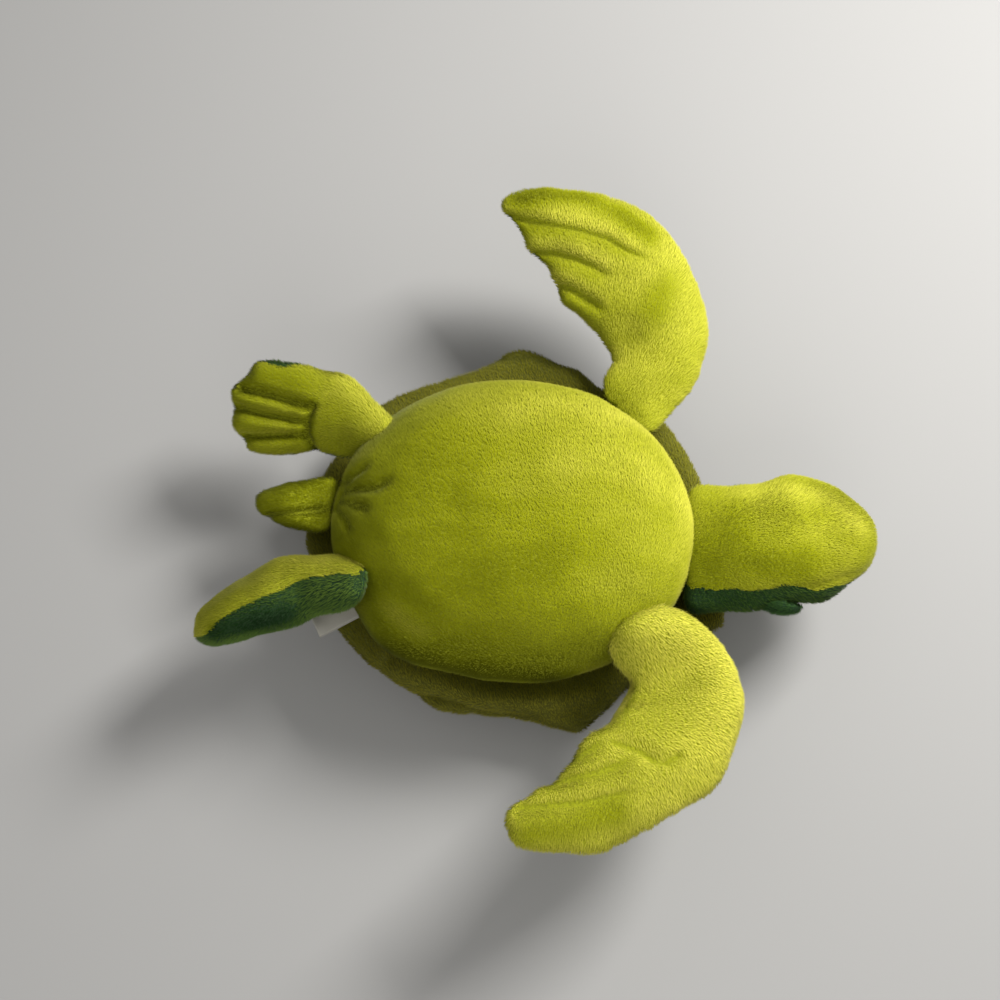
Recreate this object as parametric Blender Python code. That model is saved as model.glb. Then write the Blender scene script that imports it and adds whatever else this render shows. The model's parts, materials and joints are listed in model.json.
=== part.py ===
"""Plush sea turtle, lying on its shell with the belly up and the limbs as a child dropped it.

Metres. +X points to the snout, +Y to the turtle's right side and +Z out of the belly.
The origin is the middle of the flat spot that the shell lies on.
Every stuffed form is closed and swells from its seams. Cloth panels are cut from the form along
those seams, and the filling is the same form a little smaller.
"""

import math

import bmesh
import bpy
from mathutils import Matrix, Vector
from mathutils.bvhtree import BVHTree

for old in list(bpy.data.objects):
    bpy.data.objects.remove(old)

# Cloth, and the clearances between pieces
cloth = 0.0012
seam_gap = 0.0004
filling_gap = 0.0009
seat_gap = 0.0004
hinge_gap = 0.0006

# Torso: an egg seen from above, with a shallow shell below the rim seam and a deep belly above it
belly_front = 0.112
belly_rear = 0.118
belly_half_width = 0.098
shell_depth = 0.040
belly_rise = 0.090
torso_steps = 40
shell_profile_shares = (
    (0.24, 0.0), (0.45, 0.07), (0.65, 0.21), (0.81, 0.42), (0.92, 0.70), (0.965, 1.0),
)
belly_profile_shares = (
    (0.95, 0.10), (0.985, 0.21), (1.0, 0.33), (0.985, 0.46), (0.935, 0.60),
    (0.84, 0.74), (0.69, 0.865), (0.47, 0.955), (0.22, 1.0),
)

# Shell rim: a stuffed ring with soft scallops, sewn on at the rim seam
rim_reach = 0.028
rim_half_height = 0.009
rim_slump = 0.005
rim_wave = 0.0025
rim_scallops = 8
rim_section_shares = (
    (0.0, 0.0), (0.07, 0.62), (0.40, 1.0), (0.78, 0.86), (1.0, 0.0),
    (0.78, -0.86), (0.40, -1.0), (0.07, -0.62),
)

# Limbs: seats on the belly's side, as angles round the torso from the snout, in degrees
seat_height = 0.071
front_seat_angle = 49.0
front_twist = 6.5
rear_seat_angle = 149.0
rear_twist = -3.0
tail_seat_angle = 175.0
neck_seat_angle = 0.0

# Every limb starts as a narrow roll that turns on its own axis and so clears the belly
root_radius = 0.0055
neck_radius = 0.0085
nose_reach_share = 0.95
nose_height_share = 0.50
root_bluntness = 0.62

# Front flippers: a crescent, wide past the elbow, with a narrow root and tip
front_length = 0.199
front_half_width = 0.040
front_half_thickness = 0.0165
front_widths_shares = (0.68, 0.71, 0.77, 0.90, 1.0, 1.02, 0.93, 0.76, 0.54, 0.27)
front_thickness_shares = (0.62, 0.92, 1.0, 0.96, 0.88, 0.80, 0.72, 0.62, 0.46, 0.22)
front_right_headings = (56, 70, 93, 111, 123, 136, 147, 156, 166, 176)
front_right_climbs = (6, 10, 12, 12, 11, 10, 8, 6, 4, 2)
front_left_headings = (-36, -62, -94, -120, -136, -144, -149, -152, -156, -160)
front_left_climbs = (8, 16, 20, 20, 18, 16, 14, 12, 11, 10)
front_rolls = (0,) * 10

# Rear flippers: short paddles, the right one palm up, the left one turned on its edge
rear_length = 0.092
rear_half_width = 0.034
rear_half_thickness = 0.0185
rear_widths_shares = (0.58, 0.70, 0.86, 0.97, 1.0, 1.0, 0.92, 0.66)
rear_thickness_shares = (0.60, 0.96, 1.0, 0.88, 0.78, 0.72, 0.62, 0.40)
rear_right_headings = (155, 168, 174, 176, 177, 178, 179, 179)
rear_right_climbs = (8, 10, 8, 4, 2, 0, -2, -4)
rear_right_rolls = (-4, -10, -16, -20, -22, -22, -22, -22)
rear_left_headings = (200, 190, 184, 190, 204, 212, 216, 218)
rear_left_climbs = (16, 16, 12, 4, -4, -8, -12, -14)
rear_left_rolls = (56, 60, 64, 66, 66, 66, 66, 66)

# Tail: a short flattened cone
tail_length = 0.046
tail_half_width = 0.0185
tail_half_thickness = 0.0125
tail_widths_shares = (0.96, 1.0, 0.92, 0.78, 0.58, 0.34)
tail_thickness_shares = (0.56, 0.92, 1.0, 0.86, 0.66, 0.40)
tail_headings = (176, 178, 180, 182, 182, 182)
tail_climbs = (0, -4, -6, -8, -8, -8)
tail_rolls = (8, 14, 18, 20, 20, 20)

# Head and neck in one form
head_length = 0.103
head_half_width = 0.0425
head_half_thickness = 0.0285
head_widths_shares = (0.94, 0.95, 0.945, 0.95, 1.0, 1.03, 1.01, 0.90, 0.68, 0.38)
head_thickness_shares = (0.42, 0.68, 0.80, 0.87, 0.96, 1.0, 0.96, 0.84, 0.64, 0.36)
head_headings = (0, 0, 2, 6, 9, 9, 8, 6, 5, 5)
head_climbs = (10, 8, 4, 0, -4, -6, -8, -8, -8, -8)
head_rolls = (-5, -7, -10, -12, -13, -13, -13, -13, -13, -13)
throat_edge_step = 1

# Eyes: moulded beads with a shank through the cloth and a washer behind it
eye_along_share = 0.50
eye_lean = 38.0
eye_radius = 0.0070
eye_dome_height = 0.0046
shank_radius = 0.0016
shank_length = 0.0082
washer_radius = 0.0050
washer_thickness = 0.0012
washer_depth = 0.0024
shank_gap = 0.0002
pocket_gap = 0.0008

# Eyelids: padded rolls that hug the belly side of each eye
lid_roll_radius = 0.0075
lid_arc = 150.0
lid_sink = 0.0010

# Sewn-in label: a blank folded ribbon
label_angle = 214.0
label_rise = 0.0055
label_length = 0.022
label_width = 0.018
label_thickness = 0.0008
label_drop = 6.0

# The panels that a form's faces are cut for
UNDERSIDE, TOP, TOP_LEFT = range(3)


def material(name, colour, roughness):
    """A Principled material with one colour and one roughness."""
    found = bpy.data.materials.get(name)
    if found:
        return found
    made = bpy.data.materials.new(name)
    made.use_nodes = True
    shader = made.node_tree.nodes["Principled BSDF"]
    shader.inputs["Base Color"].default_value = (*colour, 1.0)
    shader.inputs["Roughness"].default_value = roughness
    shader.inputs["Metallic"].default_value = 0.0
    made.diffuse_color = (*colour, 1.0)
    return made


def finish_object(name, shape, finish, parent=None, sharp_angle=40.0):
    """Turns a bmesh into a smooth-shaded object that holds one material."""
    for face in shape.faces:
        face.material_index = 0
    bmesh.ops.triangulate(shape, faces=shape.faces[:])
    mesh = bpy.data.meshes.new(name)
    shape.to_mesh(mesh)
    shape.free()
    mesh.materials.append(finish)
    mesh.shade_smooth()
    mesh.set_sharp_from_angle(angle=math.radians(sharp_angle))
    made = bpy.data.objects.new(name, mesh)
    bpy.context.scene.collection.objects.link(made)
    if parent:
        made.parent = parent
        mesh.transform(Matrix.Translation(-parent.location))
    return made


def pivot(name, place):
    """An empty on a joint's axis, which carries the pieces that turn about it."""
    made = bpy.data.objects.new(name, None)
    made.location = place
    bpy.context.scene.collection.objects.link(made)
    return made


# Forms and the panels cut from them


def loop_of(form, row):
    """The edges from each point of a row to the next, in order, round to the first."""
    return [form.edges.get((point, after)) for point, after in zip(row, row[1:] + row[:1])]


def sleeve_of(rings, tag):
    """A tube: the first ring's edge loop is extruded to each ring in turn.

    tag(ring, step) says which panel each face is cut for.
    """
    form = bmesh.new()
    row = [form.verts.new(point) for point in rings[0]]
    for point, after in zip(row, row[1:] + row[:1]):
        form.edges.new((point, after))
    rows = [row]
    for i, ring in enumerate(rings[1:]):
        grown = set(bmesh.ops.extrude_edge_only(form, edges=loop_of(form, row))["geom"])
        spokes = [next(edge for edge in point.link_edges if edge.other_vert(point) in grown) for point in row]
        row = [spoke.other_vert(point) for spoke, point in zip(spokes, row)]
        for point, place in zip(row, ring):
            point.co = place
        for k, edge in enumerate(loop_of(form, row)):
            edge.link_faces[0].material_index = tag(i, k)
        rows.append(row)
    return form, rows


def close_end(form, row, tag):
    """Closes a tube with one face across its end."""
    bmesh.ops.edgeloop_fill(form, edges=loop_of(form, row), mat_nr=tag)


def note_normals(form):
    """Splits a form into triangles and keeps each point's outward direction, which offsets follow."""
    bmesh.ops.recalc_face_normals(form, faces=form.faces[:])
    bmesh.ops.triangulate(form, faces=form.faces[:])
    form.normal_update()
    outward = form.verts.layers.float_vector.new("outward")
    for point in form.verts:
        point[outward] = point.normal
    return form


def panel_of(name, form, tag, finish, parent=None):
    """The cloth over the faces with this tag: a wall as thick as the cloth, drawn back from its seams."""
    panel = form.copy()
    outward = panel.verts.layers.float_vector["outward"]
    others = [face for face in panel.faces if face.material_index != tag]
    bmesh.ops.delete(panel, geom=others, context="FACES")
    seam_edges = [edge for edge in panel.edges if edge.is_boundary]
    seam_points = {point for edge in seam_edges for point in edge.verts}
    shifts = {}
    for point in seam_points:
        inward = Vector()
        for face in point.link_faces:
            inward += face.calc_center_median() - point.co
        inward -= inward.dot(point[outward]) * point[outward]
        along = Vector()
        for edge in point.link_edges:
            if edge.is_boundary:
                step = edge.other_vert(point).co - point.co
                along = step if along.length == 0 else along - step
        if along.length > 0:
            inward -= inward.dot(along.normalized()) * along.normalized()
        shifts[point] = inward.normalized() * (seam_gap / 2)
    for point, shift in shifts.items():
        point.co += shift
    grown = bmesh.ops.extrude_face_region(panel, geom=panel.faces[:], use_keep_orig=True)["geom"]
    for item in grown:
        if isinstance(item, bmesh.types.BMVert):
            item.co -= item[outward] * cloth
    bmesh.ops.recalc_face_normals(panel, faces=panel.faces[:])
    return finish_object(name, panel, finish, parent)


def swollen(form, distance):
    """A copy of a form whose points have moved out by distance, or in if it is negative."""
    copied = form.copy()
    outward = copied.verts.layers.float_vector["outward"]
    for point in copied.verts:
        point.co += point[outward] * distance
    return copied


def filling_of(name, form, parent=None):
    """The stuffing inside a form's cloth."""
    return finish_object(name, swollen(form, -cloth - filling_gap), fleece, parent)


# Outlines that the limbs and the rim share with the torso


def torso_profile():
    """(share of the outline, height) from the flat spot on the shell to the top of the belly."""
    shell = [(share, height * shell_depth) for share, height in shell_profile_shares]
    belly = [(share, shell_depth + height * belly_rise) for share, height in belly_profile_shares]
    return shell + belly


def outline_point(angle, share=1.0):
    """A point of the belly's widest outline, seen from above. The angle is in radians."""
    length = belly_front if math.cos(angle) > 0 else belly_rear
    return Vector((length * math.cos(angle), belly_half_width * math.sin(angle), 0)) * share


def outline_normal(angle):
    """The direction square to the outline, seen from above."""
    length = belly_front if math.cos(angle) > 0 else belly_rear
    return Vector((math.cos(angle) / length, math.sin(angle) / belly_half_width, 0)).normalized()


def share_at(height):
    """How much of the outline the torso fills at a height, read from its profile."""
    profile = torso_profile()
    for (share, low), (next_share, high) in zip(profile, profile[1:]):
        if low <= height <= high:
            return share + (next_share - share) * (height - low) / (high - low)
    return profile[-1][0]


def widest_share_near(height):
    """The largest share within a neck radius of a height, so that a turning limb clears the belly."""
    shares = [share for share, level in torso_profile() if abs(level - height) <= neck_radius]
    return max(shares + [share_at(height)])


def seat_of(angle_degrees, radius):
    """(hinge place, outward direction) of a limb whose root rests against the belly's side."""
    angle = math.radians(angle_degrees)
    outward = outline_normal(angle)
    place = outline_point(angle, widest_share_near(seat_height)) + outward * (hinge_gap + radius)
    place.z = seat_height
    return place, outward


def room_inward(point, outward):
    """How far a point outside the torso can move against outward before it meets the belly's side."""
    share = widest_share_near(point.z)
    near = 0.0
    far = belly_half_width / 2
    for _ in range(20):
        middle = (near + far) / 2
        spot = point - outward * middle
        length = belly_front if spot.x > 0 else belly_rear
        if math.hypot(spot.x / length, spot.y / belly_half_width) < share:
            far = middle
        else:
            near = middle
    return near


# Torso


def torso_form():
    """Rings of the torso's outline at the heights of its profile, closed by a flat end at each pole."""
    rings = []
    for share, height in torso_profile():
        ring = []
        for step in range(torso_steps):
            point = outline_point(math.tau * step / torso_steps, share)
            point.z = height
            ring.append(point)
        rings.append(ring)
    seam_ring = len(shell_profile_shares) - 1
    form, rows = sleeve_of(rings, lambda i, k: TOP if i < seam_ring else UNDERSIDE)
    close_end(form, rows[0], TOP)
    close_end(form, rows[-1], UNDERSIDE)
    return note_normals(form)


def rim_form():
    """A ring whose section starts at the torso's rim seam and reaches out to the scalloped edge."""
    rings = []
    root_share = shell_profile_shares[-1][0]
    for step in range(torso_steps):
        angle = math.tau * step / torso_steps
        outward = outline_normal(angle)
        root = outline_point(angle, root_share) + outward * seat_gap
        reach = rim_reach + rim_wave * math.cos(rim_scallops * angle)
        ring = []
        for along, height in rim_section_shares:
            point = root + outward * reach * along + Vector((0, rim_slump, 0)) * along
            point.z = shell_depth + height * rim_half_height
            ring.append(point)
        rings.append(ring)
    half = len(rim_section_shares) // 2
    form, rows = sleeve_of(rings + rings[:1], lambda i, k: UNDERSIDE if k < half else TOP)
    bmesh.ops.weld_verts(form, targetmap=dict(zip(rows[-1], rows[0])))
    return note_normals(form)


# Limbs


def direction(heading, climb):
    """A unit vector from a heading round the turtle and a climb above level, both in degrees."""
    level = math.cos(math.radians(climb))
    heading = math.radians(heading)
    return Vector((
        level * math.cos(heading),
        level * math.sin(heading),
        math.sin(math.radians(climb)),
    ))


def sections_of(seat_angle, radius, length, half_width, half_thickness, widths, thicknesses, turns):
    """Stations along a limb: (middle, side, up, half width, half thickness). turns is headings, climbs, rolls."""
    place, outward = seat_of(seat_angle, radius)
    headings, climbs, rolls = turns
    square = math.degrees(math.atan2(outward.y, outward.x))
    tilt = Matrix.Rotation(math.radians(rolls[0]), 3, outward)
    across = tilt @ Vector((-outward.y, outward.x, 0))
    up = tilt @ Vector((0, 0, 1))
    root_width = half_width * widths[0]
    stations = [
        (place, across, up, root_width, radius * nose_height_share),
        (place, across, up, root_width, radius),
    ]
    step = length / len(headings)
    middle = place
    before = direction(square, 0)
    for heading, climb, roll, width, thickness in zip(headings, climbs, rolls, widths, thicknesses):
        forward = direction(heading, climb)
        middle = middle + forward * step
        facing = (before + forward).normalized()
        side = Vector((0, 0, 1)).cross(facing).normalized()
        side = Matrix.Rotation(math.radians(roll), 3, facing) @ side
        up = facing.cross(side)
        stations.append((middle, side, up, half_width * width, half_thickness * thickness))
        before = forward
    return stations


def limb_form(stations, steps, tag=None):
    """A closed sleeve round the stations, seamed along its two edges and across both ends."""
    rings = []
    for middle, side, up, width, thickness in stations:
        power = root_bluntness if len(rings) < 2 else 1
        ring = []
        for step in range(steps):
            turn = math.tau * step / steps
            height = math.copysign(abs(math.sin(turn)) ** power, math.sin(turn))
            if step * 2 % steps == 0:
                height = 0
            ring.append(middle + side * width * math.cos(turn) + up * thickness * height)
        rings.append(ring)
    outward = stations[0][1].cross(stations[0][2])
    clearance = hinge_gap + stations[1][4] * (1 - nose_reach_share)
    rings[0] = [point - outward * (room_inward(point, outward) - clearance) for point in rings[0]]
    half = steps // 2
    split = tag or (lambda k: UNDERSIDE if k < half else TOP)
    form, rows = sleeve_of(rings, lambda i, k: split(k))
    for row in (rows[0], rows[-1]):
        sleeve = set(form.faces)
        close_end(form, row, UNDERSIDE)
        for k in range(1, half):
            end = next(face for face in row[k].link_faces if face not in sleeve and row[half] in face.verts)
            bmesh.utils.face_split(end, row[k], row[steps - k])
        rungs = [form.edges.get((row[k], row[steps - k])) for k in range(1, half)]
        middles = [bmesh.utils.edge_split(rung, rung.verts[0], 0.5)[1] for rung in rungs]
        bmesh.ops.connect_verts(form, verts=[row[0], *middles, row[half]])
        for k, edge in enumerate(loop_of(form, row)):
            for face in edge.link_faces:
                if face not in sleeve:
                    face.material_index = split(k)
    return note_normals(form)


def stuffed_limb(name, stations, steps, top_finish):
    """A limb's underside and top panels and its filling, on an empty at its seam."""
    hinge = pivot(name + "_seam", stations[0][0])
    form = limb_form(stations, steps)
    panel_of(name + "_underside", form, UNDERSIDE, lime_plush, hinge)
    panel_of(name + "_top", form, TOP, top_finish, hinge)
    filling_of(name + "_filling", form, hinge)
    form.free()
    return hinge


# Head


def eye_seat(form, stations, along_share, lean_degrees, side_sign):
    """(place, outward direction) just off the head's skin, at a share of its length and a lean to the crown."""
    at = along_share * (len(stations) - 1)
    first = int(at)
    mix = at - first
    near = stations[first]
    far = stations[first + 1]
    middle, side, up = (near[i].lerp(far[i], mix) for i in range(3))
    width, thickness = (near[i] + (far[i] - near[i]) * mix for i in (3, 4))
    lean = math.radians(lean_degrees)
    edge = side * side_sign
    guess = middle + edge * width * math.cos(lean) - up * thickness * math.sin(lean)
    skin = BVHTree.FromBMesh(form)
    place, outward, _, _ = skin.find_nearest(guess)
    return place + outward * seat_gap, outward


def turned(profile, steps, place, outward):
    """A round solid: the profile of (radius, height) pairs is spun about an axis through place."""
    shape = bmesh.new()
    points = [shape.verts.new((radius, 0, height)) for radius, height in profile]
    edges = [shape.edges.new(pair) for pair in zip(points, points[1:])]
    bmesh.ops.spin(
        shape, geom=points + edges, cent=(0, 0, 0), axis=(0, 0, 1),
        angle=math.tau, steps=steps, use_merge=True,
    )
    bmesh.ops.remove_doubles(shape, verts=shape.verts[:], dist=seam_gap / 10)
    bmesh.ops.recalc_face_normals(shape, faces=shape.faces[:])
    turn = Vector((0, 0, 1)).rotation_difference(outward).to_matrix().to_4x4()
    shape.transform(Matrix.Translation(place) @ turn)
    return shape


def eye_bead(name, place, outward, parent):
    """A domed bead whose flat back lies on the cloth, with its shank through the cloth."""
    dome = []
    dome_steps = 5
    for step in range(dome_steps + 1):
        turn = math.pi / 2 * step / dome_steps
        dome.append((eye_radius * math.sin(turn), seat_gap + eye_dome_height * math.cos(turn)))
    shank = [(shank_radius, seat_gap), (shank_radius, -shank_length), (0, -shank_length)]
    shape = turned(dome + shank, 12, place, outward)
    return finish_object(name, shape, bead_plastic, parent)


def eye_washer(name, place, outward, parent):
    """The retaining washer that grips the shank behind the cloth."""
    bore = shank_radius + shank_gap
    top = -cloth - washer_depth
    bottom = top - washer_thickness
    profile = [(bore, top), (washer_radius, top), (washer_radius, bottom), (bore, bottom), (bore, top)]
    shape = turned(profile, 12, place, outward)
    return finish_object(name, shape, washer_plastic, parent)


def cutter(name, shape, parent):
    """A guide solid that a Boolean takes away, which is no part of the toy."""
    made = finish_object(name, shape, bead_plastic, parent)
    made.hide_render = True
    made.display_type = "WIRE"
    return made


def take_away(target, tool):
    """Cuts tool's space out of target."""
    cut = target.modifiers.new("cut_" + tool.name, "BOOLEAN")
    cut.operation = "DIFFERENCE"
    cut.object = tool


def eyelid(name, place, outward, belly_side, parent, head_cutter):
    """A padded roll, bent round the belly side of the eye and cut to sit on the head."""
    across = belly_side.cross(outward).normalized()
    toward = outward.cross(across)
    sweep = eye_radius + lid_roll_radius + seat_gap
    rings = []
    lid_steps = 10
    for step in range(lid_steps + 1):
        turn = math.radians(lid_arc) * (step / lid_steps - 0.5)
        out = toward * math.cos(turn) + across * math.sin(turn)
        middle = place + out * sweep - outward * lid_sink
        fade = math.sqrt(max(1 - (2 * step / lid_steps - 1) ** 2, 0.08))
        ring = []
        for k in range(8):
            round_turn = math.tau * k / 8
            ring.append(
                middle
                + (out * math.cos(round_turn) + outward * math.sin(round_turn)) * lid_roll_radius * fade
            )
        rings.append(ring)
    form, rows = sleeve_of(rings, lambda i, k: UNDERSIDE)
    close_end(form, rows[0], UNDERSIDE)
    close_end(form, rows[-1], UNDERSIDE)
    bmesh.ops.recalc_face_normals(form, faces=form.faces[:])
    made = finish_object(name, form, lid_plush, parent)
    take_away(made, head_cutter)
    return made


# Finishes, each with its colour as linear values and its roughness
lime_plush = material("lime_plush", (0.42, 0.46, 0.030), 0.9)
leaf_plush = material("leaf_plush", (0.030, 0.130, 0.040), 0.9)
olive_plush = material("olive_plush", (0.105, 0.115, 0.016), 0.9)
lid_plush = material("lid_plush", (0.045, 0.170, 0.075), 0.9)
fleece = material("fleece_filling", (0.80, 0.80, 0.76), 1.0)
ribbon = material("label_ribbon", (0.78, 0.76, 0.72), 0.6)
bead_plastic = material("bead_plastic", (0.010, 0.009, 0.008), 0.15)
washer_plastic = material("washer_plastic", (0.70, 0.70, 0.68), 0.5)

# Torso pieces
torso = torso_form()
panel_of("belly_panel", torso, UNDERSIDE, lime_plush)
panel_of("shell_panel", torso, TOP, olive_plush)
filling_of("body_filling", torso)
torso.free()
rim = rim_form()
panel_of("rim_underside_panel", rim, UNDERSIDE, olive_plush)
panel_of("rim_top_panel", rim, TOP, olive_plush)
filling_of("rim_filling", rim)
rim.free()

# Flippers and tail
limb_steps = 12
tail_round_steps = 10
front_turns = {
    "right": (front_right_headings, front_right_climbs, front_rolls),
    "left": (front_left_headings, front_left_climbs, front_rolls),
}
for side_name, side_sign in (("right", 1), ("left", -1)):
    front = sections_of(
        side_sign * front_seat_angle + front_twist, root_radius, front_length, front_half_width, front_half_thickness,
        front_widths_shares, front_thickness_shares, front_turns[side_name],
    )
    stuffed_limb("front_flipper_" + side_name, front, limb_steps, leaf_plush)
rear_turns = {
    "right": (rear_right_headings, rear_right_climbs, rear_right_rolls),
    "left": (rear_left_headings, rear_left_climbs, rear_left_rolls),
}
for side_name, side_sign in (("right", 1), ("left", -1)):
    rear = sections_of(
        side_sign * rear_seat_angle + rear_twist, root_radius, rear_length, rear_half_width, rear_half_thickness,
        rear_widths_shares, rear_thickness_shares, rear_turns[side_name],
    )
    stuffed_limb("rear_flipper_" + side_name, rear, limb_steps, leaf_plush)
tail = sections_of(
    tail_seat_angle, root_radius, tail_length, tail_half_width, tail_half_thickness,
    tail_widths_shares, tail_thickness_shares, (tail_headings, tail_climbs, tail_rolls),
)
stuffed_limb("tail", tail, tail_round_steps, lime_plush)

# Head pieces
head_steps = 16
head = sections_of(
    neck_seat_angle, neck_radius, head_length, head_half_width, head_half_thickness,
    head_widths_shares, head_thickness_shares, (head_headings, head_climbs, head_rolls),
)


def head_tag(step):
    """The throat is on the belly side. The crown is sewn from a right and a left half."""
    if throat_edge_step <= step < head_steps // 2 - throat_edge_step:
        return UNDERSIDE
    return TOP_LEFT if head_steps // 4 < step < head_steps * 3 // 4 else TOP


neck = pivot("neck_seam", head[0][0])
head_shape = limb_form(head, head_steps, head_tag)
panel_of("throat_panel", head_shape, UNDERSIDE, lime_plush, neck)
crowns = {
    "left": panel_of("crown_panel_left", head_shape, TOP_LEFT, leaf_plush, neck),
    "right": panel_of("crown_panel_right", head_shape, TOP, leaf_plush, neck),
}
head_filling = filling_of("head_filling", head_shape, neck)
head_cutter = cutter("head_cutter", swollen(head_shape, seat_gap), neck)

for side_name, side_sign in (("right", 1), ("left", -1)):
    place, outward = eye_seat(head_shape, head, eye_along_share, eye_lean, side_sign)
    eye_bead("eye_" + side_name, place, outward, neck)
    eye_washer("eye_washer_" + side_name, place, outward, neck)
    hole_radius = shank_radius + shank_gap
    hole_top = seat_gap * 2
    hole_bottom = -shank_length - pocket_gap
    hole = [(0, hole_top), (hole_radius, hole_top), (hole_radius, hole_bottom), (0, hole_bottom)]
    hole_tool = cutter("shank_hole_" + side_name, turned(hole, 12, place, outward), neck)
    pocket_radius = washer_radius + pocket_gap
    pocket = [(0, hole_top), (pocket_radius, hole_top), (pocket_radius, hole_bottom), (0, hole_bottom)]
    pocket_tool = cutter("washer_pocket_" + side_name, turned(pocket, 12, place, outward), neck)
    take_away(crowns[side_name], hole_tool)
    take_away(head_filling, pocket_tool)
    belly_side = Vector((0, 0, 1))
    eyelid("eyelid_" + side_name, place, outward, belly_side, neck, head_cutter)
head_shape.free()

# Sewn-in label
label_turn = math.radians(label_angle)
label_height = shell_depth + rim_half_height + label_rise
label_out = outline_normal(label_turn)
label_root = outline_point(label_turn, share_at(label_height)) + label_out * seat_gap
label_root.z = label_height
label_shape = bmesh.new()
bmesh.ops.create_cube(label_shape, size=1.0)
label_size = Matrix.Diagonal((label_length, label_width, label_thickness, 1))
label_shape.transform(Matrix.Translation((0.5 * label_length, 0, 0)) @ label_size)
label_tilt = Matrix.Rotation(math.radians(label_drop), 4, "Y")
label_heading = Matrix.Rotation(math.atan2(label_out.y, label_out.x), 4, "Z")
label_shape.transform(Matrix.Translation(label_root) @ label_heading @ label_tilt)
finish_object("sewn_label", label_shape, ribbon)
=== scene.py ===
# %% [markdown]
# # A plush sea turtle on its back
# The toy lies on its shell with its lime belly up. The CAD model gives every place and size, and this
# lesson dresses it: each stuffed form is blown up like a cushion, stitched, and covered with short pile.
# The first cell loads the CAD model, which stays fixed. All lengths are in metres.

# %% The frame
import json
import math

import bmesh
import bpy
import numpy as np
from mathutils import Matrix, Vector, noise
from mathutils.bvhtree import BVHTree
from mathutils.kdtree import KDTree


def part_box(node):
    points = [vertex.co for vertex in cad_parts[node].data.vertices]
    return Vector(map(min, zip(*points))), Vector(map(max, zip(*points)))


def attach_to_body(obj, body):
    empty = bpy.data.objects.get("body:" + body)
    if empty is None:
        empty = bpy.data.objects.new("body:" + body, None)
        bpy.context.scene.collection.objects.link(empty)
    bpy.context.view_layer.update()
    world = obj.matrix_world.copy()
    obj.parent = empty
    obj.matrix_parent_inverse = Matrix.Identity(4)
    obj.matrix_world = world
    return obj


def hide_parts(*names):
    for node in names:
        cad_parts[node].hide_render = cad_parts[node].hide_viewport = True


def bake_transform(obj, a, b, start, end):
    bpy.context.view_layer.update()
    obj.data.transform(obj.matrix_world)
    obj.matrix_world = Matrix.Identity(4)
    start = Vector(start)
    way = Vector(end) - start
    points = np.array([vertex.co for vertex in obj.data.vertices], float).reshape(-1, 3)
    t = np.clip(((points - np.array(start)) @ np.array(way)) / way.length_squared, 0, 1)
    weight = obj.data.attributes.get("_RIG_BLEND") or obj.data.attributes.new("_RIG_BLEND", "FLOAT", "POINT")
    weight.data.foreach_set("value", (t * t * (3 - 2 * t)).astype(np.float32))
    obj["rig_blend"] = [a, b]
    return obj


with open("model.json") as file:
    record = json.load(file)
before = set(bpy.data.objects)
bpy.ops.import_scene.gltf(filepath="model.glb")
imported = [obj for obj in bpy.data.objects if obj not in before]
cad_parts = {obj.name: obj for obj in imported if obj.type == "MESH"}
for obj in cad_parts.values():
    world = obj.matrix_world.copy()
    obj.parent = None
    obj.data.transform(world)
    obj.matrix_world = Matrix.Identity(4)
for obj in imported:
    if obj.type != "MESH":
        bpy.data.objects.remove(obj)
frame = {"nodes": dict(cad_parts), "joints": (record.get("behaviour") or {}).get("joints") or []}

noise.seed_set(5)  # without a seed, each run would draw other noise
scene = bpy.context.scene
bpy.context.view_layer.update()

# %% [markdown]
# ## Camera
# The photograph looks down on the toy from 72 degrees above the floor, a little round to its tail side.
# A camera can be set by eye, but here the angle, the scale and the distance were measured first, because
# creases are later placed by their pixels in the photograph and have to land on the right cloth.

# %% Camera at the photograph's angle
elevation = math.radians(72)
azimuth = math.radians(4)
metres_per_pixel = 0.00064
camera_distance = 0.85
frame_pixels = 1000
sensor = 36
right = Vector((math.cos(azimuth), math.sin(azimuth), 0))
up = Vector((
    -math.sin(azimuth) * math.sin(elevation),
    math.cos(azimuth) * math.sin(elevation),
    math.cos(elevation),
))
back = right.cross(up)
origin_pixel = (517, 533)
look_height = 0.060
target = Vector((0, 0, look_height))
target += (frame_pixels / 2 - origin_pixel[0]) * metres_per_pixel * right
target += (origin_pixel[1] - frame_pixels / 2) * metres_per_pixel * up
camera_data = bpy.data.cameras.new("photo_camera")
camera_data.sensor_width = sensor
camera_data.lens = sensor * camera_distance / (frame_pixels * metres_per_pixel)
camera = bpy.data.objects.new("photo_camera", camera_data)
camera.matrix_world = Matrix.Translation(target + back * camera_distance) @ Matrix(
    (right, up, back)).transposed().to_4x4()
scene.collection.objects.link(camera)
scene.camera = camera
print("camera lens in mm:", round(camera_data.lens, 1))

# %% [markdown]
# ## Floor and light
# A plain pale floor and soft lamps show a plush toy best: hard light would turn each hair's shadow into
# noise. A large key lamp stands over the toy's head end, as in the photograph, and a weaker one fills the
# other side. The world gives the rest, evenly.

# %% Floor
def simple_material(name, colour, roughness):
    """A material with a Principled shader, and its shader node."""
    made = bpy.data.materials.new(name)
    made.use_nodes = True
    shader = made.node_tree.nodes["Principled BSDF"]
    shader.inputs["Base Color"].default_value = (*colour, 1)
    shader.inputs["Roughness"].default_value = roughness
    made.diffuse_color = (*colour, 1)
    return made, shader


def object_from(name, shape, finish=None):
    """An object at the origin that holds a bmesh."""
    mesh = bpy.data.meshes.new(name)
    shape.to_mesh(mesh)
    shape.free()
    mesh.shade_smooth()
    if finish:
        mesh.materials.append(finish)
    made = bpy.data.objects.new(name, mesh)
    scene.collection.objects.link(made)
    return made


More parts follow.
